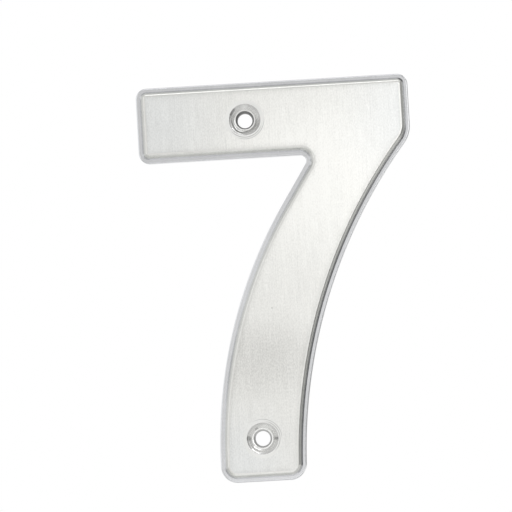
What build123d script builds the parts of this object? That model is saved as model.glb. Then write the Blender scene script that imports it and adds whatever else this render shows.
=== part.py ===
from build123d import *
import math
import os

# A cast metal door number, the digit 7, that is screwed flat to a door.
# Millimetres, +Z up the digit and +X to its right. The brushed face looks towards -Y,
# and the flat back lies on the plane Y = 0.
# The origin is on the back, halfway between the two screw holes.

# Outline of the digit, measured from its lower left corner
digit_height = 101.6
digit_width = 69.4
bar_height = 19.25
foot_left = 16.5  # bar's left end to the foot's left edge
foot_width = 21.7
foot_upright = 0.2  # upright run of the stem's inner edge above the foot's corner round
inner_curve_radius = 120.8
inner_straight_run = 14.66  # inner edge from the end of its curve to the bar's underside
outer_curve_radius = 133.8

# Corner rounds: the first three are the face's, and the outline's are larger by the moulded edge
bar_face_round = 0.3
foot_face_round = 1.85
elbow_face_round = 5.2
inner_corner_round = 1.55

# Section through the moulded edge, from the outline inwards
lip_height = 3.0
lip_width = 0.95
lip_edge_round = 0.35
face_raise = 1.8
flank_draft = 23.0  # degrees that the flank leans in from upright
shoulder_round = 1.0
back_edge_round = 0.3

# Screw holes: a shallow polished dish, a countersink, a narrow flat land, a tapered neck and a plain bore
hole_line = 27.5  # bar's left end to the upright line through both holes
foot_hole_height = 10.85
dish_radius = 5.0
dish_depth = 0.07
mouth_radius = 4.0
mouth_round = 0.15
countersink_angle = 90.0  # degrees, between opposite sides
land_width = 0.3  # flat ring at the foot of the countersink, round the neck
neck_radius = 2.35
neck_depth = 1.5
bore_radius = 1.9

# Sizes that follow
thickness = lip_height + face_raise
flank_run = face_raise * math.tan(math.radians(flank_draft))
shoulder_run = shoulder_round * math.tan(math.radians((90 - flank_draft) / 2))
moulding_width = lip_width + flank_run + shoulder_run
bar_round = moulding_width + bar_face_round
foot_round = moulding_width + foot_face_round
elbow_round = moulding_width + elbow_face_round
bar_underside = digit_height - bar_height
bar_hole_height = digit_height - bar_height / 2
hole_middle = (bar_hole_height + foot_hole_height) / 2
foot_right = foot_left + foot_width
inner_curve_start = foot_round + foot_upright
inner_edge_span = math.hypot(inner_curve_radius, inner_straight_run)
inner_curve_turn = math.degrees(
    math.asin((bar_underside - inner_curve_start) / inner_edge_span)
    - math.atan(inner_straight_run / inner_curve_radius)
)
outer_curve_turn = math.degrees(math.acos(1 - (digit_width - foot_right) / outer_curve_radius))
land_radius = neck_radius + land_width
countersink_depth = (mouth_radius - land_radius) / math.tan(math.radians(countersink_angle / 2))
neck_top = dish_depth + countersink_depth

os.makedirs("parts", exist_ok=True)

# The digit's own plane, seen from the front, with its lower left corner at (0, 0)
digit_plane = Plane(origin=(-hole_line, 0, -hole_middle), x_dir=(1, 0, 0), z_dir=(0, -1, 0))

with BuildPart() as number_seven:
    # Base plate, as wide as the lip all round
    with BuildSketch(digit_plane) as outline:
        with BuildLine():
            foot = Line((foot_right, 0), (foot_left, 0))
            inner_foot = Line(foot @ 1, (foot_left, inner_curve_start))
            inner_curve = JernArc(inner_foot @ 1, inner_foot % 1, inner_curve_radius, -inner_curve_turn)
            inner_run = PolarLine(inner_curve @ 1, inner_straight_run, direction=inner_curve % 1)
            underside = Line(inner_run @ 1, (0, bar_underside))
            bar_end = Line(underside @ 1, (0, digit_height))
            top = Line(bar_end @ 1, (digit_width, digit_height))
            outer_curve = JernArc(foot @ 0, (0, 1), outer_curve_radius, -outer_curve_turn)
            Line(top @ 1, outer_curve @ 1)
        make_face()
        corner_rounds = [
            (underside @ 1, bar_round),
            (top @ 0, bar_round),
            (top @ 1, bar_round),
            (outer_curve @ 1, elbow_round),
            (foot @ 0, foot_round),
            (foot @ 1, foot_round),
            (inner_run @ 1, inner_corner_round),
        ]
        for corner, radius in corner_rounds:
            fillet(outline.vertices().sort_by_distance(corner)[0], radius)
    extrude(amount=lip_height)

    # Raised face with drafted flanks, set in from the outline by the lip
    with BuildSketch(digit_plane.offset(lip_height)):
        offset(outline.sketch_local.face(), amount=-lip_width)
    extrude(amount=face_raise, taper=flank_draft)

    # Soft shoulder round the face, and rounds on the lip's and the back's outer edges
    fillet(number_seven.faces().sort_by(Axis.Y)[0].edges(), shoulder_round)
    lip_face = number_seven.faces().filter_by(Axis.Y).sort_by(Axis.Y)[1]
    fillet(lip_face.outer_wire().edges(), lip_edge_round)
    fillet(number_seven.faces().sort_by(Axis.Y)[-1].edges(), back_edge_round)

    # Both screw holes, each turned from one half section with the face at depth 0
    for height in (bar_hole_height - hole_middle, foot_hole_height - hole_middle):
        face_centre = (0, -thickness, height)
        with BuildSketch(Plane(origin=face_centre, x_dir=(1, 0, 0), z_dir=(0, 0, 1))) as hole_section:
            with BuildLine():
                Polyline(
                    (0, 0),
                    (dish_radius, 0),
                    (mouth_radius, dish_depth),
                    (land_radius, neck_top),
                    (neck_radius, neck_top),
                    (bore_radius, neck_top + neck_depth),
                    (bore_radius, thickness),
                    (0, thickness),
                    close=True,
                )
            make_face()
            fillet(hole_section.vertices().sort_by_distance((mouth_radius, dish_depth))[0], mouth_round)
        revolve(axis=Axis(face_centre, (0, 1, 0)), mode=Mode.SUBTRACT)

number_seven.part.label = "number_seven"
export_step(number_seven.part, "parts/number_seven.step")
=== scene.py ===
import math

import bpy
from mathutils import Matrix, Vector
from mathutils.geometry import delaunay_2d_cdt


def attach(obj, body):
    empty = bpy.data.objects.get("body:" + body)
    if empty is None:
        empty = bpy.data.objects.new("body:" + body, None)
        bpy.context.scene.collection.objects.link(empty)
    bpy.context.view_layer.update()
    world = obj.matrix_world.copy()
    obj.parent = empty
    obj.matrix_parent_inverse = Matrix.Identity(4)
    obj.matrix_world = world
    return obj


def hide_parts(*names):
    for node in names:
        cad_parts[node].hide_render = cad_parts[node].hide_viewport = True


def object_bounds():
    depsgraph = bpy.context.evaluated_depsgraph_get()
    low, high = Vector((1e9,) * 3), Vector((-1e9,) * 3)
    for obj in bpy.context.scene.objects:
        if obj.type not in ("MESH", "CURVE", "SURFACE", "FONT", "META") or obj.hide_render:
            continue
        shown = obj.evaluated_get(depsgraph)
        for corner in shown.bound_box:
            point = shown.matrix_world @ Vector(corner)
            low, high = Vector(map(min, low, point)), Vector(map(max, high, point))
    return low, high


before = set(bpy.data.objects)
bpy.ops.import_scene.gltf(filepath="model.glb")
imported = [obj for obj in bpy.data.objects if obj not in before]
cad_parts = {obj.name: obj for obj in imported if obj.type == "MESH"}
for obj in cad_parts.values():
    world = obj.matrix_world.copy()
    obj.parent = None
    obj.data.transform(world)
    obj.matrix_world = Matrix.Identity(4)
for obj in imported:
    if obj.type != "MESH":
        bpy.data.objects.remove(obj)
cad_low, cad_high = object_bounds()
MM = 0.001

# Outline of the digit in millimetres, measured from its lower left corner
digit_width, thickness, digit_height = (cad_high - cad_low) / MM
bar_height = 19.25
foot_left = 16.5
foot_width = 21.7
foot_upright = 0.2
inner_curve_radius = 120.8
inner_straight_run = 14.66
outer_curve_radius = 133.8
bar_face_round = 0.3
foot_face_round = 1.85
elbow_face_round = 5.2
inner_corner_round = 1.55

# Section through the moulded edge
lip_height = 3.0
lip_width = 0.95
lip_edge_round = 0.35
flank_draft = math.radians(23.0)
shoulder_round = 1.0
back_edge_round = 0.3

# Screw holes
hole_line = 27.5
foot_hole_height = 10.85
dish_radius = 5.0
dish_depth = 0.07
mouth_radius = 4.0
mouth_round = 0.15
countersink_angle = math.radians(90.0)
land_width = 0.3
neck_radius = 2.35
neck_depth = 1.5
bore_radius = 1.9

# Sizes that follow
flank_run = (thickness - lip_height) * math.tan(flank_draft)
moulding_width = lip_width + flank_run + shoulder_round * math.tan((math.pi / 2 - flank_draft) / 2)
bar_round = moulding_width + bar_face_round
foot_round = moulding_width + foot_face_round
elbow_round = moulding_width + elbow_face_round
bar_underside = digit_height - bar_height
bar_hole_height = digit_height - bar_height / 2
hole_middle = (bar_hole_height + foot_hole_height) / 2
land_radius = neck_radius + land_width
neck_top = dish_depth + (mouth_radius - land_radius) / math.tan(countersink_angle / 2)

# Fineness of the mesh
ARC_STEP = math.radians(4.0)  # largest turn from one point of a corner to the next
RUN_STEP = 1.2  # largest distance between points of an arc, in millimetres
TOUCH = 1e-4  # points nearer than this are one point, in millimetres
FILL_TOUCH = 1e-6  # the same for the points of a flat face
ROUND_STEPS = 8  # strips in each round of a section
HOLE_STEPS = 96  # steps round each hole
INSIDE_RINGS = 1  # setting that keeps the triangles inside the outer ring
OUTER_CURVE, INNER_CURVE, INNER_CORNER = 4, 7, 8  # places in the outline's list of arcs

# Camera: where the photo was taken from, and how the digit lies in its frame
VIEW_AZIMUTH = math.radians(1.0)
VIEW_ELEVATION = math.radians(-3.0)
VIEW_ROLL = math.radians(3.283)
VIEW_DISTANCE = 0.850
PHOTO_SIZE = 512
PHOTO_MIDDLE = (282.30, 279.87)  # pixel at which the digit's middle is seen
PIXELS_PER_METRE = 3931.0  # at the digit's middle
SENSOR = 36.0  # width in millimetres
CLIP_NEAR, CLIP_FAR = 0.01, 100.0
DIGIT_MIDDLE = (cad_low + cad_high) / 2

# Light: six tones of the studio, a white backdrop behind the number, dark cards and lamps
TONE_RIGHT = (0.44, 0.44, 0.44)
TONE_LEFT = (0.89, 0.89, 0.895)
TONE_FRONT = (0.78, 0.78, 0.77)
TONE_BACK = (0.40, 0.40, 0.40)
TONE_UP = (0.78, 0.78, 0.79)
TONE_DOWN = (0.92, 0.92, 0.91)
BACKDROP_EDGE = math.radians(24.0)
BACKDROP_CORE = math.radians(11.0)
DARK_CARDS = [
    # direction from the number, angles of its edge and of its core, share of the tone that is left
    ((0.51, -0.69, 0.51), math.radians(27.0), math.radians(16.0), 0.06),
    ((0.76, -0.58, -0.29), math.radians(25.0), math.radians(13.0), 0.22),
]
LAMPS = [
    # name, place, width and height, watts
    ("overhead", (0.05, -0.26, 0.55), (0.50, 0.16), 0.40),
    ("near_right", (0.145, -0.24, 0.05), (0.16, 0.16), 0.103),
    ("front", (0.005, -0.50, 0.015), (0.10, 0.08), 0.0055),
    ("left_low", (-0.43, -0.40, -0.03), (0.20, 0.14), 0.052),
    ("left_high", (-0.39, -0.40, 0.20), (0.20, 0.16), 0.060),
    ("low_front", (0.02, -0.35, -0.075), (0.10, 0.03), 0.0085),
    ("floor_front", (0.0, -0.027, -0.079), (0.06, 0.012), 0.0012),
    ("floor_middle", (0.0, -0.098, -0.079), (0.09, 0.02), 0.0032),
    ("upper_right", (0.33, -0.21, 0.33), (0.12, 0.12), 0.140),
]

# Floor: a pale disc below the foot that fades out before it reaches the photo's view
FLOOR_DROP = 0.048  # from the foot down to the floor
FLOOR_CLEAR = 0.24  # radius at which it starts to fade
FLOOR_RADIUS = 0.40
FLOOR_CORNERS = 96
FLOOR_COLOUR = (0.93, 0.93, 0.92, 1.0)

# Metal: each finish goes from its dull colour to its bright one
FACE_DULL, FACE_BRIGHT = (0.598, 0.595, 0.574, 1.0), (0.977, 0.975, 0.948, 1.0)
# Cooler colours of the face's cool stretches, partly the metal's own tint and partly painted reflection
COOL_DULL, COOL_BRIGHT = (0.588, 0.595, 0.590, 1.0), (0.964, 0.975, 0.967, 1.0)
EDGE_DULL, EDGE_BRIGHT = (0.52, 0.525, 0.539, 1.0), (0.84, 0.845, 0.866, 1.0)
# The lip's round where it looks to the right gets a painted highlight in this colour
RIGHT_SHEEN_COLOUR = (0.975, 0.98, 0.99, 1.0)  # bright colour of the lip's round where it looks to the right
SHOULDER_DULL, SHOULDER_BRIGHT = (0.52, 0.525, 0.504, 1.0), (0.84, 0.845, 0.812, 1.0)
DISH_DULL, DISH_BRIGHT = (0.55, 0.55, 0.54, 1.0), (0.97, 0.97, 0.95, 1.0)
HOLE_DULL, HOLE_BRIGHT = (0.28, 0.28, 0.2765, 1.0), (0.97, 0.97, 0.957, 1.0)
BORE_DULL, BORE_BRIGHT = (0.08, 0.08, 0.076, 1.0), (0.68, 0.68, 0.67, 1.0)
BACK_DULL, BACK_BRIGHT = (0.36, 0.36, 0.36, 1.0), (0.66, 0.66, 0.65, 1.0)
FACE, EDGE, DISH, HOLE, BORE, BACK = range(6)  # material slots of the number

# Features of the noises per metre along X, Y and Z
BRUSH_LINES = (3600.0, 400.0, 130.0)
BRUSH_GRAIN = (4200.0, 4200.0, 1900.0)
BRUSH_STREAKS = (420.0, 60.0, 45.0)
FACE_CLOUDS = (70.0, 70.0, 70.0)
EDGE_CLOUDS = (240.0, 240.0, 240.0)
EDGE_GRAIN = (2600.0, 2600.0, 2600.0)
BORE_SCORES = (1500.0, 5200.0, 1500.0)
BACK_GRAIN = (1800.0, 1800.0, 1800.0)
BACK_BLOTCHES = (160.0, 160.0, 160.0)

# Features of the noises round a hole: X and Z go round it, and Y outwards, per millimetre
DISH_RINGS = (0.5, 5.5, 0.5)
HOLE_RINGS = (0.4, 6.0, 0.4)
HOLE_SWERVE = (2.0, 0.6, 2.0)
HOLES_APART = 40.0  # keeps the noise of one hole clear of the other's

# Stretches of the face that differ from the rest, and its pits
# The stem's duller stretch is a painted dark reflection; the mottled grain inside it is the satin's own
DARK_REFLECTION_PATCH = Vector((-0.5, -thickness, -20.3)) * MM  # middle of a duller stretch of the stem
DARK_REFLECTION_REACH = Vector((25.0, 25.0, 14.0)) * MM
# The brighter stretch is a painted highlight of the brushing
HIGHLIGHT_PATCH = Vector((15.0, -thickness, 25.0)) * MM  # middle of a brighter stretch below the bar
HIGHLIGHT_REACH = Vector((34.0, 34.0, 30.0)) * MM
RIM_WIDTH = 1.6  # width of the duller rim of the face, in millimetres
# The cooler stretches are partly the metal's own tint and partly painted reflection, a little darker as well
COOL_PATCHES = [
    # middle and reach of a cooler stretch of the face, at the bar's two ends and on the foot
    (Vector((-25.0, -thickness, 41.0)) * MM, Vector((26.0, 26.0, 24.0)) * MM),
    (Vector((44.0, -thickness, 40.0)) * MM, Vector((26.0, 26.0, 26.0)) * MM),
    (Vector((-7.0, -thickness, -47.0)) * MM, Vector((20.0, 20.0, 20.0)) * MM),
]
PIT_SPACING, PIT_RADIUS, PIT_SHARE = 4.2 * MM, 0.28 * MM, 0.10

# Moulded edge: where its stretches start and where they are full
CROWN_START, CROWN_FULL = 0.15, 0.01  # below the face, in millimetres
# Painted highlight on the lip's round
SHEEN_START, SHEEN_FULL = 0.005, 0.06  # below the lip, in millimetres
SIDE_START, SIDE_FULL = 0.0, 0.2  # how much more a normal points sideways than up or down

# Dark marks on the countersinks, in millimetres
HOLE_MARKS = [
    # height of the hole, hour of the clock, distance from the axis, length outwards, width
    (foot_hole_height, 3.05, 3.45, 1.1, 0.7),
    (foot_hole_height, 9.1, 3.55, 0.9, 1.1),
    (foot_hole_height, 11.0, 2.95, 0.5, 0.8),
    (bar_hole_height, 10.2, 3.75, 0.6, 2.0),
]

# Chatter of the cutter on the countersinks: a wave outwards, in radians
CHATTER_PITCH = 0.76  # from crest to crest, in millimetres
CHATTER_TURNS = 2 * math.pi / CHATTER_PITCH
CHATTER_START = -23.0

# Stretches of the countersinks: distances from the axis at which they start and are full, in millimetres
# The land gets a painted highlight, and the cone painted shade toward its mouth
LAND_REACH = (land_radius + 0.1, land_radius - 0.05)
HOLE_RIM = (3.2, 3.95)

# Stretches round a hole: hour of the clock, then cosines of the turn where they start and are full
# The dish gets a painted highlight on its lower right
DISH_LOWER = (4.8, -0.2, 0.8)
# In the bar's hole the cone gets a painted highlight on its lower side
HOLE_LOWER = (6.2, 0.3, 0.95)
# The chattered stretch gets painted highlights as well as its chatter marks
HOLE_CHATTERED = (7.8, 0.50, 0.90)

# Thin turned lines on the dishes, in millimetres
DISH_LINES = [
    # height of the hole, hour of the clock, distance from the axis, width
    (bar_hole_height, 5.7, 4.46, 0.13),
    (bar_hole_height, 4.9, 4.90, 0.10),
    (foot_hole_height, 2.5, 4.38, 0.13),
    (foot_hole_height, 1.2, 4.86, 0.10),
]
LINE_REACH = (0.35, 0.85)  # cosines of the turn from its hour at which a line starts and is full

# Shares of their sizes at which soft forms are full, and at which a mark starts
SPOT_CORE = 0.3
PATCH_CORE = 0.1
LINE_CORE = 0.2
MARK_CORE = 0.3
MARK_EDGE = 0.7


def outline_arcs():
    """The outline's arcs, clockwise from the front: centre, radius, first and last angle.
    A hollow arc has a radius below 0. Straight edges join the arcs."""
    inner_start = foot_round + foot_upright
    span = math.hypot(inner_curve_radius, inner_straight_run)
    whole_turn = math.asin((bar_underside - inner_start) / span)
    turn = whole_turn - math.atan(inner_straight_run / inner_curve_radius)
    outer_x = foot_left + foot_width + outer_curve_radius
    elbow_x = digit_width - elbow_round
    elbow_z = math.sqrt((outer_curve_radius + elbow_round) ** 2 - (outer_x - elbow_x) ** 2)
    elbow_turn = math.asin(elbow_z / (outer_curve_radius + elbow_round))
    foot_turn = math.asin(foot_round / (outer_curve_radius + foot_round))
    foot_x = outer_x - (outer_curve_radius + foot_round) * math.cos(foot_turn)
    inner_end = foot_left + inner_curve_radius * (1 - math.cos(turn)) + inner_straight_run * math.sin(turn)
    corner_x = inner_end - inner_corner_round * math.tan(math.pi / 4 + turn / 2)
    quarter = math.pi / 2
    return [
        ((bar_round, bar_underside + bar_round), bar_round, -quarter, -2 * quarter),
        ((bar_round, digit_height - bar_round), bar_round, 2 * quarter, quarter),
        ((digit_width - bar_round, digit_height - bar_round), bar_round, quarter, 0.0),
        ((elbow_x, elbow_z), elbow_round, 0.0, -elbow_turn),
        ((outer_x, 0.0), -outer_curve_radius, math.pi - elbow_turn, math.pi - foot_turn),
        ((foot_x, foot_round), foot_round, -foot_turn, -quarter),
        ((foot_left + foot_round, foot_round), foot_round, -quarter, -2 * quarter),
        ((foot_left + inner_curve_radius, inner_start), inner_curve_radius, math.pi, math.pi - turn),
        ((corner_x, bar_underside - inner_corner_round), -inner_corner_round, -turn, quarter),
    ]


def outline_path():
    """Points round the outline, each with its outward normal, clockwise from the front."""
    path = []
    arcs = outline_arcs()
    for arc, following in zip(arcs, arcs[1:] + arcs[:1]):
        centre, radius, first, last = arc
        turn = abs(last - first)
        steps = math.ceil(max(turn / ARC_STEP, turn * abs(radius) / RUN_STEP))
        for i in range(steps):
            path.append(arc_point(centre, radius, first + (last - first) * i / steps))
        end = arc_point(centre, radius, last)
        if (arc_point(*following[:3])[0] - end[0]).length > TOUCH:
            path.append(end)
    return path


def arc_point(centre, radius, angle):
    """A point of an arc of the outline, and its outward normal."""
    out = Vector((math.cos(angle), math.sin(angle)))
    return Vector(centre) + out * abs(radius), out * math.copysign(1.0, radius)


def hole_path(height):
    """A hole's axis as a path whose normals point inwards, so that an inset is a radius."""
    axis = Vector((hole_line, height))
    turns = [2 * math.pi * i / HOLE_STEPS for i in range(HOLE_STEPS)]
    return [(axis, Vector((-math.cos(t), -math.sin(t)))) for t in turns]


def section_strips(points, rounds):
    """A section from the back to the front, as (inset, height) points with a round at each inner point.
    Returns strips, each with its two points and their outward normals."""
    points = [Vector(point) for point in points]
    strips = []
    here = points[0]
    for i in range(1, len(points)):
        heading = (points[i] - points[i - 1]).normalized()
        normal = Vector((-heading.y, heading.x))
        radius = rounds[i - 1] if i <= len(rounds) else 0.0
        if not radius:
            strips.append((here, normal, points[i], normal))
            here = points[i]
            continue
        onward = (points[i + 1] - points[i]).normalized()
        turn = math.atan2(heading.cross(onward), heading.dot(onward))
        bend = points[i] - heading * radius * math.tan(abs(turn) / 2)
        strips.append((here, normal, bend, normal))
        side = math.copysign(1.0, turn)
        centre = bend + normal * radius * side
        here = bend
        for step in range(1, ROUND_STEPS + 1):
            turned = Matrix.Rotation(turn * step / ROUND_STEPS, 2) @ Vector((-heading.y, heading.x))
            there = centre - turned * radius * side
            strips.append((here, normal, there, turned))
            here, normal = there, turned
    return [strip for strip in strips if (strip[2] - strip[0]).length > TOUCH]


class Skin:
    """Gathers a mesh's points, faces, corner normals and material slots."""

    def __init__(self):
        self.places = {}
        self.faces = []
        self.normals = []
        self.slots = []

    def point(self, place):
        """The number of the point at a place in the frame, in metres."""
        key = tuple(round(value / MM, 5) for value in place)
        return self.places.setdefault(key, (len(self.places), place))[0]

    def face(self, places, normals, slot):
        """A face that is turned to look along its normals."""
        around = (places[1] - places[0]).cross(places[2] - places[0])
        if around.dot(sum(normals, Vector((0.0, 0.0, 0.0)))) < 0:
            places, normals = places[::-1], normals[::-1]
        self.faces.append([self.point(place) for place in places])
        self.normals += normals
        self.slots.append(slot)

    def sweep(self, path, strips, slot):
        """Carries the strips of a section round a closed path."""
        for near, far in zip(path, path[1:] + path[:1]):
            for start, start_normal, end, end_normal in strips:
                places = [at(near, start), at(near, end), at(far, end), at(far, start)]
                normals = [
                    facing(near, start_normal),
                    facing(near, end_normal),
                    facing(far, end_normal),
                    facing(far, start_normal),
                ]
                self.face(places, normals, slot)

    def fill(self, rings, normal, slot):
        """A flat face inside the first ring and outside the others, which are round."""
        places, edges, owners = [], [], []
        for owner, ring in enumerate(rings):
            first, count = len(places), len(ring)
            places += ring
            owners += [owner] * count
            edges += [(first + i, first + (i + 1) % count) for i in range(count)]
        flat = [Vector((place.x, place.z)) / MM for place in places]
        _, _, triangles, sources, _, _ = delaunay_2d_cdt(flat, edges, [], INSIDE_RINGS, FILL_TOUCH)
        for triangle in triangles:
            corners = [sources[i][0] for i in triangle]
            around = {owners[i] for i in corners}
            if 0 in around or len(around) > 1:
                self.face([places[i] for i in corners], [normal] * 3, slot)

    def make(self, name):
        """The gathered mesh as an object."""
        mesh = bpy.data.meshes.new(name)
        mesh.from_pydata([place for _, place in self.places.values()], [], self.faces)
        for polygon, slot in zip(mesh.polygons, self.slots):
            polygon.material_index = slot
            polygon.use_smooth = True
        mesh.normals_split_custom_set(self.normals)
        return new_object(name, mesh)


def new_object(name, data):
    """A new object in the scene."""
    made = bpy.data.objects.new(name, data)
    bpy.context.scene.collection.objects.link(made)
    return made


def at(station, place):
    """A section's (inset, height) place at a station of a path, in the frame."""
    point, out = station
    inset, height = place
    flat = point - out * inset
    return Vector((flat.x - hole_line, -height, flat.y - hole_middle)) * MM


def facing(station, normal):
    """A section's normal at a station of a path, in the frame."""
    out = station[1]
    return Vector((-out.x * normal.x, -normal.y, -out.y * normal.x))


def make_number():
    """The number's own surface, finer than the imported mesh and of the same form."""
    outline = outline_path()
    moulding = section_strips(
        [
            (back_edge_round, 0.0),
            (0.0, 0.0),
            (0.0, lip_height),
            (lip_width, lip_height),
            (lip_width + flank_run, thickness),
            (moulding_width, thickness),
        ],
        [back_edge_round, lip_edge_round, 0.0, shoulder_round],
    )
    hole = section_strips(
        [
            (bore_radius, 0.0),
            (bore_radius, thickness - neck_top - neck_depth),
            (neck_radius, thickness - neck_top),
            (land_radius, thickness - neck_top),
            (mouth_radius, thickness - dish_depth),
            (dish_radius, thickness),
        ],
        [0.0, 0.0, 0.0, mouth_round],
    )
    bore, land, cone, dish = hole[:2], hole[2:3], hole[3:-1], hole[-1:]
    skin = Skin()
    skin.sweep(outline, moulding, EDGE)
    holes = [hole_path(height) for height in (bar_hole_height, foot_hole_height)]
    for axis in holes:
        skin.sweep(axis, bore, BORE)
        skin.sweep(axis, land + cone, HOLE)
        skin.sweep(axis, dish, DISH)
    front = [[at(station, moulding[-1][2]) for station in outline]]
    front += [[at(station, dish[-1][2]) for station in axis] for axis in holes]
    skin.fill(front, Vector((0.0, -1.0, 0.0)), FACE)
    back = [[at(station, moulding[0][0]) for station in outline]]
    back += [[at(station, bore[0][0]) for station in axis] for axis in holes]
    skin.fill(back, Vector((0.0, 1.0, 0.0)), BACK)
    number = skin.make("number_seven_skin")
    for finish in (brushed_face, moulded_edge, polished_dish, turned_hole, dull_and_shaded_bore, cast_back):
        number.data.materials.append(finish())
    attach(number, "root")
    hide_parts("number_seven")


class Graph:
    """A node tree with short calls for the nodes used here. A value is a number, a vector or a socket."""

    MIX_FIRST, MIX_SECOND, MIX_RESULT = 6, 7, 2  # colour sockets of the Mix node

    def __init__(self, tree):
        self.tree = tree
        tree.nodes.clear()

    def add(self, kind, values=None, **settings):
        """A new node with these settings, and with these values at its inputs."""
        node = self.tree.nodes.new(kind)
        for name, value in settings.items():
            setattr(node, name, value)
        for name, value in (values or {}).items():
            self.put(node.inputs[name], value)
        return node

    def put(self, socket, value):
        """Links a socket to the value's socket, or sets a plain value on it."""
        if isinstance(value, bpy.types.NodeSocket):
            self.tree.links.new(value, socket)
        else:
            socket.default_value = value

    def math(self, operation, *values):
        return self.add("ShaderNodeMath", dict(enumerate(values)), operation=operation).outputs[0]

    def vector(self, operation, *values):
        node = self.add("ShaderNodeVectorMath", dict(enumerate(values)), operation=operation)
        return node.outputs["Value"] if operation in ("LENGTH", "DOT_PRODUCT") else node.outputs["Vector"]

    def split(self, vector):
        """The X, Y and Z of a vector."""
        return self.add("ShaderNodeSeparateXYZ", {0: vector}).outputs

    def ramp(self, value, start, end):
        """An even change from 0 to 1 while the value goes from start to end."""
        values = {"Value": value, "From Min": start, "From Max": end}
        return self.add("ShaderNodeMapRange", values).outputs["Result"]

    def step(self, value, start, end, low=0.0, high=1.0):
        """A smooth change from low to high while the value goes from start to end."""
        values = {"Value": value, "From Min": start, "From Max": end, "To Min": low, "To Max": high}
        return self.add("ShaderNodeMapRange", values, interpolation_type="SMOOTHSTEP").outputs["Result"]

    def mix(self, factor, first, second):
        values = {"Factor": factor, self.MIX_FIRST: first, self.MIX_SECOND: second}
        return self.add("ShaderNodeMix", values, data_type="RGBA").outputs[self.MIX_RESULT]

    def noise(self, place, scale, detail=2.0, roughness=0.5):
        """Noise from 0 to 1 with so many features per unit along each axis."""
        scaled = self.vector("MULTIPLY", place, scale)
        values = {"Vector": scaled, "Scale": 1.0, "Detail": detail, "Roughness": roughness}
        return self.add("ShaderNodeTexNoise", values).outputs["Fac"]

    def spots(self, place, spacing, radius, share):
        """Round spots strewn at random, in a share of the cells: 1 inside a spot and 0 outside."""
        cells = self.add("ShaderNodeTexVoronoi", {"Vector": place, "Scale": 1 / spacing})
        chance = self.add("ShaderNodeSeparateColor", {0: cells.outputs["Color"]}).outputs[0]
        chosen = self.math("LESS_THAN", chance, share)
        inside = self.step(cells.outputs["Distance"], radius / spacing, SPOT_CORE * radius / spacing)
        return self.math("MULTIPLY", chosen, inside)

    def patch(self, place, middle, reach):
        """A soft round stretch of the surface: 1 at its middle and 0 from its reach on."""
        away = self.vector("DIVIDE", self.vector("SUBTRACT", place, middle), reach)
        return self.step(self.vector("LENGTH", away), 1.0, PATCH_CORE)

    def total(self, start, shares):
        """Start plus each value times its weight."""
        for value, weight in shares:
            start = self.math("MULTIPLY_ADD", value, weight, start)
        return start

    def bump(self, height, strength, depth):
        values = {"Height": height, "Strength": strength, "Distance": depth * MM}
        return self.add("ShaderNodeBump", values).outputs[0]


def make_world():
    """Soft studio surroundings: a tone for each side, blended by direction, with dark cards and a white
    backdrop."""
    world = bpy.data.worlds.new("studio")
    world.use_nodes = True
    bpy.context.scene.world = world
    graph = Graph(world.node_tree)
    direction = graph.add("ShaderNodeTexCoord").outputs["Generated"]
    x, y, z = graph.split(direction)
    pairs = [(x, TONE_RIGHT, TONE_LEFT), (y, TONE_BACK, TONE_FRONT), (z, TONE_UP, TONE_DOWN)]
    total = (0.0, 0.0, 0.0)
    for axis, ahead, behind in pairs:
        side = graph.math("GREATER_THAN", axis, 0.0)
        tone = graph.mix(side, (*behind, 1.0), (*ahead, 1.0))
        share = graph.vector("SCALE", tone)
        graph.put(share.node.inputs["Scale"], graph.math("MULTIPLY", axis, axis))
        total = graph.vector("ADD", total, share)
    for aim, edge, core, left in DARK_CARDS:
        toward = graph.vector("DOT_PRODUCT", direction, Vector(aim).normalized())
        kept = graph.step(toward, math.cos(edge), math.cos(core), 1.0, left)
        total = graph.vector("SCALE", total)
        graph.put(total.node.inputs["Scale"], kept)
    backdrop = graph.step(y, math.cos(BACKDROP_EDGE), math.cos(BACKDROP_CORE))
    colour = graph.mix(backdrop, total, (1.0, 1.0, 1.0, 1.0))
    background = graph.add("ShaderNodeBackground", {"Color": colour, "Strength": 1.0})
    output = graph.add("ShaderNodeOutputWorld")
    graph.put(output.inputs["Surface"], background.outputs[0])


def make_floor():
    """A pale matt disc below the foot, clear at its rim."""
    mesh = bpy.data.meshes.new("floor")
    turns = [2 * math.pi * i / FLOOR_CORNERS for i in range(FLOOR_CORNERS)]
    height = cad_low.z - FLOOR_DROP
    rim = [(FLOOR_RADIUS * math.cos(t), FLOOR_RADIUS * math.sin(t), height) for t in turns]
    mesh.from_pydata(rim, [], [range(FLOOR_CORNERS)])
    floor = new_object("floor", mesh)
    material = bpy.data.materials.new("floor_paint")
    material.use_nodes = True
    mesh.materials.append(material)
    graph = Graph(material.node_tree)
    place = graph.add("ShaderNodeTexCoord").outputs["Object"]
    spread = graph.vector("MULTIPLY", place, (1.0, 1.0, 0.0))
    fade = graph.step(graph.vector("LENGTH", spread), FLOOR_CLEAR, FLOOR_RADIUS)
    paint = graph.add("ShaderNodeBsdfDiffuse", {"Color": FLOOR_COLOUR})
    clear = graph.add("ShaderNodeBsdfTransparent")
    blend = graph.add("ShaderNodeMixShader", {0: fade, 1: paint.outputs[0], 2: clear.outputs[0]})
    output = graph.add("ShaderNodeOutputMaterial")
    graph.put(output.inputs["Surface"], blend.outputs[0])


def make_lamp(name, place, size, power):
    """A soft lamp that looks at the digit's middle."""
    data = bpy.data.lights.new(name, "AREA")
    data.shape = "RECTANGLE"
    data.size, data.size_y = size
    data.energy = power
    lamp = new_object(name, data)
    lamp.location = place
    lamp.rotation_euler = (DIGIT_MIDDLE - lamp.location).to_track_quat("-Z", "Y").to_euler()


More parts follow.
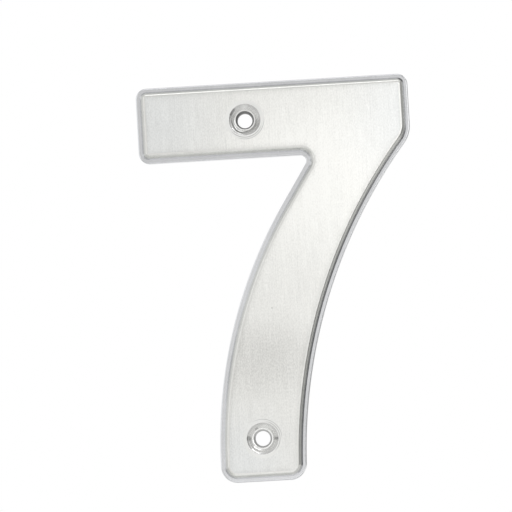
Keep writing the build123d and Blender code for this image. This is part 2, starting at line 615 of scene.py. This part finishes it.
def make_camera():
    """The photo's camera: a long lens, turned and aimed so that the digit lies as in the photo."""
    cos_azimuth, sin_azimuth = math.cos(VIEW_AZIMUTH), math.sin(VIEW_AZIMUTH)
    cos_elevation, sin_elevation = math.cos(VIEW_ELEVATION), math.sin(VIEW_ELEVATION)
    back = Vector((sin_azimuth * cos_elevation, -cos_azimuth * cos_elevation, sin_elevation))
    level = Vector((cos_azimuth, sin_azimuth, 0.0))
    upright = back.cross(level)
    right = math.cos(VIEW_ROLL) * level - math.sin(VIEW_ROLL) * upright
    up = math.sin(VIEW_ROLL) * level + math.cos(VIEW_ROLL) * upright
    place = DIGIT_MIDDLE + back * VIEW_DISTANCE
    across = (PHOTO_MIDDLE[0] - PHOTO_SIZE / 2) / PIXELS_PER_METRE
    down = (PHOTO_MIDDLE[1] - PHOTO_SIZE / 2) / PIXELS_PER_METRE
    aim = DIGIT_MIDDLE - right * across + up * down
    axis_z = (place - aim).normalized()
    axis_x = up.cross(axis_z).normalized()
    axis_y = axis_z.cross(axis_x)
    turn = Matrix((axis_x, axis_y, axis_z)).transposed().to_4x4()
    data = bpy.data.cameras.new("camera")
    data.sensor_width = SENSOR
    data.lens = PIXELS_PER_METRE * VIEW_DISTANCE / PHOTO_SIZE * SENSOR
    data.clip_start, data.clip_end = CLIP_NEAR, CLIP_FAR
    camera = new_object("camera", data)
    camera.matrix_world = Matrix.Translation(place) @ turn
    bpy.context.scene.camera = camera


def metal_material(name):
    """An empty material, its graph and the place on the number."""
    material = bpy.data.materials.new(name)
    material.use_nodes = True
    graph = Graph(material.node_tree)
    return material, graph, graph.add("ShaderNodeTexCoord").outputs["Object"]


def finish_metal(graph, shade, dull, bright, **values):
    """Metal whose colour goes from dull to bright with the shade."""
    inputs = {name.replace("_", " "): value for name, value in values.items()}
    colour = graph.mix(shade, dull, bright)
    metal = graph.add("ShaderNodeBsdfPrincipled", {"Base Color": colour, "Metallic": 1.0, **inputs})
    output = graph.add("ShaderNodeOutputMaterial")
    graph.put(output.inputs["Surface"], metal.outputs[0])


def hole_places(graph, place):
    """Distance from the nearer hole's axis in millimetres, the direction from it, and a place for noise
    whose features run round the axis."""
    x, _, z = graph.split(place)
    side = graph.math("SIGN", z)
    reach = (bar_hole_height - hole_middle) * MM
    rise = graph.math("SUBTRACT", z, graph.math("MULTIPLY", side, reach))
    offset = graph.add("ShaderNodeCombineXYZ", {"X": x, "Z": rise}).outputs[0]
    radius = graph.math("DIVIDE", graph.vector("LENGTH", offset), MM)
    direction = graph.vector("NORMALIZE", offset)
    layer = graph.math("MULTIPLY_ADD", side, HOLES_APART, radius)
    ring = graph.add("ShaderNodeCombineXYZ", {"Y": layer}).outputs[0]
    return radius, direction, graph.vector("ADD", direction, ring)


def towards(hour):
    """The direction from a hole's axis to an hour of the clock, seen from the front."""
    turn = math.radians(90 - 30 * hour)
    return Vector((math.cos(turn), 0.0, math.sin(turn)))


def near_hour(graph, direction, hour, start, full):
    """1 near an hour of the clock round a hole and 0 far from it. Start and full are cosines of the turn."""
    return graph.step(graph.vector("DOT_PRODUCT", direction, towards(hour)), start, full)


def hole_mark(graph, place, height, hour, reach, length, width):
    """A short mark on a countersink's cone: 1 inside and 0 outside. Sizes in millimetres."""
    outward = towards(hour)
    across = Vector((-outward.z, 0.0, outward.x))
    middle = Vector((0.0, 0.0, height - hole_middle)) + outward * reach
    offset = graph.vector("SUBTRACT", place, middle * MM)
    mark = 1.0
    for axis, size in ((outward, length), (across, width)):
        away = graph.math("ABSOLUTE", graph.vector("DOT_PRODUCT", offset, axis))
        inside = graph.step(away, MARK_EDGE * size * MM, MARK_CORE * size * MM)
        mark = graph.math("MULTIPLY", mark, inside)
    return mark


def in_foot(graph, place):
    """1 at the foot's hole, which is the brighter one, and 0 at the bar's."""
    return graph.math("LESS_THAN", graph.split(place)["Z"], 0.0)


def edge_distance(graph, place):
    """Distance from the digit's outline in millimetres, for places inside it.
    The outer corners count as sharp."""
    x, _, z = graph.split(place)
    x = graph.math("MULTIPLY_ADD", x, 1 / MM, hole_line)
    z = graph.math("MULTIPLY_ADD", z, 1 / MM, hole_middle)
    spot = graph.add("ShaderNodeCombineXYZ", {"X": x, "Y": z}).outputs[0]
    arcs = outline_arcs()
    outer, inner, corner = arcs[OUTER_CURVE], arcs[INNER_CURVE], arcs[INNER_CORNER]

    def away(point):
        """The way from a point of the digit's plane to the place."""
        return graph.vector("SUBTRACT", spot, (*point, 0.0))

    def along(offset, direction):
        """How far an offset goes in a direction."""
        return graph.vector("DOT_PRODUCT", offset, (*direction, 0.0))

    def chosen(test, first, second):
        """The second value where the test is 1, and the first where it is 0."""
        return graph.math("MULTIPLY_ADD", test, graph.math("SUBTRACT", second, first), first)

    # The stem's inner edge: an arc, and past its end a straight run
    curve_end, out = arc_point(*inner[:2], inner[3])
    run = Vector((out.y, -out.x))
    past_end = away(curve_end)
    to_arc = graph.math("SUBTRACT", inner_curve_radius, graph.vector("LENGTH", away(inner[0])))
    straight = graph.math("GREATER_THAN", along(past_end, run), 0.0)
    to_stem = chosen(straight, to_arc, along(past_end, -out))

    # The inner corner, round between the stem's edge and the bar's underside
    sharp = graph.math("MAXIMUM", to_stem, graph.math("SUBTRACT", z, bar_underside))
    from_corner = away(corner[0])
    round_off = graph.math("SUBTRACT", graph.vector("LENGTH", from_corner), inner_corner_round)
    beside = graph.math("GREATER_THAN", along(from_corner, (1.0, 0.0)), 0.0)
    above = graph.math("GREATER_THAN", along(from_corner, run), 0.0)
    nearest = chosen(graph.math("MULTIPLY", beside, above), sharp, round_off)

    outer_edges = [
        x,
        z,
        graph.math("SUBTRACT", digit_width, x),
        graph.math("SUBTRACT", digit_height, z),
        graph.math("SUBTRACT", graph.vector("LENGTH", away(outer[0])), outer_curve_radius),
    ]
    for distance in outer_edges:
        nearest = graph.math("MINIMUM", nearest, distance)
    return nearest


def brushed_face():
    """Satin metal with fine upright brushing, a duller rim, a few pits, a painted dark reflection on the
    stem, a painted highlight below the bar, and cooler stretches that are partly the metal's own tint and
    partly painted reflection."""
    material, graph, place = metal_material("brushed_face")
    lines = graph.noise(place, BRUSH_LINES, 3.0, 0.6)
    grain = graph.noise(place, BRUSH_GRAIN, 2.0, 0.6)
    streaks = graph.noise(place, BRUSH_STREAKS)
    clouds = graph.noise(place, FACE_CLOUDS)
    # Painted dark reflection on the stem
    dull = graph.patch(place, DARK_REFLECTION_PATCH, DARK_REFLECTION_REACH)
    # Painted highlight below the bar
    painted_highlight = graph.patch(place, HIGHLIGHT_PATCH, HIGHLIGHT_REACH)
    pits = graph.spots(place, PIT_SPACING, PIT_RADIUS, PIT_SHARE)
    # Cool stretches: partly the metal's own tint, partly painted reflection
    cool = 0.0
    for middle, reach in COOL_PATCHES:
        cool = graph.math("MAXIMUM", cool, graph.patch(place, middle, reach))
    mottle = graph.math("MULTIPLY", grain, dull)
    slope = graph.ramp(edge_distance(graph, place), moulding_width + RIM_WIDTH, moulding_width)
    rim = graph.math("MULTIPLY", slope, slope)
    shares = [(lines, 0.52), (grain, 0.86), (streaks, 0.14), (clouds, 0.10), (mottle, 0.50)]
    shares += [(dull, -0.54), (painted_highlight, 0.28), (pits, -0.9), (rim, -0.25), (cool, -0.04)]
    shade = graph.total(-0.13, shares)
    height = graph.total(0.0, [(lines, 1.0), (pits, -2.0)])
    roughness = graph.total(0.30, [(clouds, 0.06), (grain, 0.06), (dull, 0.03)])
    tangent = graph.add("ShaderNodeTangent", direction_type="RADIAL", axis="Z").outputs[0]
    finish_metal(
        graph,
        shade,
        graph.mix(cool, FACE_DULL, COOL_DULL),
        graph.mix(cool, FACE_BRIGHT, COOL_BRIGHT),
        Roughness=roughness,
        Anisotropic=0.6,
        Tangent=tangent,
        Normal=graph.bump(height, 0.06, 0.1),
    )
    return material


def moulded_edge():
    """Smooth plated metal, a little uneven from the casting. Its crown goes over to the face's warmer satin,
    and the lip's round has a painted highlight on the digit's left and right, whitest on the right."""
    material, graph, place = metal_material("moulded_edge")
    clouds = graph.noise(place, EDGE_CLOUDS)
    grain = graph.noise(place, EDGE_GRAIN, 2.0, 0.6)
    depth = graph.split(place)["Y"]

    # The lip's round, between the outer wall and the lip's flat
    wall_top = lip_height - lip_edge_round
    off_wall = graph.step(depth, -(wall_top - lip_edge_round) * MM, -wall_top * MM)
    off_lip = graph.step(depth, -(lip_height - SHEEN_START) * MM, -(lip_height - SHEEN_FULL) * MM)
    outer = graph.math("MULTIPLY", off_wall, off_lip)
    side, _, rise = graph.split(graph.add("ShaderNodeTexCoord").outputs["Normal"])
    rise = graph.math("ABSOLUTE", rise)
    either_side = graph.math("SUBTRACT", graph.math("ABSOLUTE", side), rise)
    right_side = graph.math("SUBTRACT", side, rise)
    # Painted highlight on the lip's round where it looks left or right, whitest where it looks right
    painted_side_sheen = graph.math("MULTIPLY", outer, graph.step(either_side, SIDE_START, SIDE_FULL))
    painted_right_sheen = graph.math("MULTIPLY", outer, graph.step(right_side, SIDE_START, SIDE_FULL))

    shade = graph.total(0.20, [(clouds, 0.30), (grain, 0.30), (painted_side_sheen, 0.60)])
    raised = graph.step(depth, -lip_height * MM, -(lip_height + thickness) / 2 * MM)
    crown = graph.step(depth, -(thickness - CROWN_START) * MM, -(thickness - CROWN_FULL) * MM)
    dull = graph.mix(crown, graph.mix(raised, EDGE_DULL, SHOULDER_DULL), FACE_DULL)
    bright = graph.mix(crown, graph.mix(raised, EDGE_BRIGHT, SHOULDER_BRIGHT), FACE_BRIGHT)
    bright = graph.mix(painted_right_sheen, bright, RIGHT_SHEEN_COLOUR)
    roughness = graph.total(0.13, [(clouds, 0.05), (grain, 0.05), (raised, 0.05), (crown, 0.13)])
    finish_metal(graph, shade, dull, bright, Roughness=roughness, Normal=graph.bump(clouds, 0.15, 0.06))
    return material


def polished_dish():
    """Bright ring round each countersink, with thin turned lines, a painted highlight on its lower right,
    and a darker tone on the foot's dish that is painted shade.
    """
    material, graph, place = metal_material("polished_dish")
    radius, direction, around = hole_places(graph, place)
    rings = graph.noise(around, DISH_RINGS, 2.0, 0.7)
    foot = in_foot(graph, place)
    bar = graph.math("SUBTRACT", 1.0, foot)
    lines = 0.0
    for height, hour, reach, width in DISH_LINES:
        away = graph.math("ABSOLUTE", graph.math("SUBTRACT", radius, reach))
        thin = graph.step(away, width, LINE_CORE * width)
        near = near_hour(graph, direction, hour, *LINE_REACH)
        here = foot if height == foot_hole_height else bar
        line = graph.math("MULTIPLY", graph.math("MULTIPLY", thin, near), here)
        lines = graph.math("MAXIMUM", lines, line)
    # Painted highlight on the dish's lower right; the foot's dish is darkened as painted shade
    lower = near_hour(graph, direction, *DISH_LOWER)
    shade = graph.total(0.68, [(rings, 0.16), (lines, -1.0), (lower, 0.20), (foot, -0.12)])
    finish_metal(graph, shade, DISH_DULL, DISH_BRIGHT, Roughness=0.34, Normal=graph.bump(rings, 0.2, 0.05))
    return material


def turned_hole():
    """Turned metal on the countersink's cone and land, with chatter from the cutter at its lower left.
    Painted highlights brighten the land, the chattered stretch and the foot's cone, and in the bar's hole
    also the lower side; painted shade darkens the cone toward the mouth.
    """
    material, graph, place = metal_material("turned_hole")
    radius, direction, around = hole_places(graph, place)
    foot = in_foot(graph, place)
    rings = graph.noise(around, HOLE_RINGS, 2.0, 0.6)
    swerve = graph.noise(around, HOLE_SWERVE, 1.0)
    turns = graph.total(CHATTER_START, [(radius, CHATTER_TURNS), (swerve, 3.0)])
    chatter = graph.math("SINE", turns)
    # The chattered stretch is brightened as painted highlight
    chattered = near_hour(graph, direction, *HOLE_CHATTERED)
    lower = near_hour(graph, direction, *HOLE_LOWER)
    # Painted highlight on the land and painted shade toward the mouth
    land = graph.step(radius, *LAND_REACH)
    rim = graph.step(radius, *HOLE_RIM)
    dark = 0.0
    for mark in HOLE_MARKS:
        dark = graph.math("MAXIMUM", dark, hole_mark(graph, place, *mark))
    # Bright and dark arcs of the chatter: real cutter marks whose brightness is partly painted highlight
    cut = graph.math("MULTIPLY", chattered, chatter)
    bar = graph.math("SUBTRACT", 1.0, foot)
    # Painted highlight on the bar's chattered stretch and lower side
    painted_bar_highlight = graph.math("MULTIPLY", graph.math("MAXIMUM", chattered, lower), bar)
    shares = [(rings, 0.10), (chattered, 0.22), (cut, 0.24), (painted_bar_highlight, 0.20)]
    # The foot's cone is painted a little brighter
    shares += [(land, 0.16), (rim, -0.18), (dark, -0.45), (foot, 0.07)]
    shade = graph.total(0.64, shares)
    bump = graph.total(0.0, [(rings, 0.08), (cut, 0.9)])
    finish_metal(graph, shade, HOLE_DULL, HOLE_BRIGHT, Roughness=0.24, Normal=graph.bump(bump, 0.4, 0.08))
    return material


def dull_and_shaded_bore():
    """Darker drilled metal in the neck and the bore, partly its own duller metal and partly painted shade;
    the foot's bore is painted much lighter.
    """
    material, graph, place = metal_material("dull_and_shaded_bore")
    scores = graph.noise(place, BORE_SCORES, 3.0, 0.6)
    # Partly painted shade, with the foot's bore painted much lighter
    shade = graph.total(0.0, [(scores, 0.6), (in_foot(graph, place), 0.9)])
    finish_metal(graph, shade, BORE_DULL, BORE_BRIGHT, Roughness=0.42, Normal=graph.bump(scores, 0.4, 0.05))
    return material


def cast_back():
    """Plain cast metal on the back, grainy and blotched."""
    material, graph, place = metal_material("cast_back")
    grain = graph.noise(place, BACK_GRAIN, 3.0, 0.6)
    blotches = graph.noise(place, BACK_BLOTCHES, 3.0)
    shade = graph.total(0.0, [(grain, 0.4), (blotches, 0.6)])
    roughness = graph.total(0.40, [(blotches, 0.2)])
    relief = graph.bump(grain, 0.35, 0.1)
    finish_metal(graph, shade, BACK_DULL, BACK_BRIGHT, Roughness=roughness, Normal=relief)
    return material


bpy.context.scene.view_settings.view_transform = "Standard"
make_world()
make_floor()
for lamp in LAMPS:
    make_lamp(*lamp)
make_camera()
make_number()
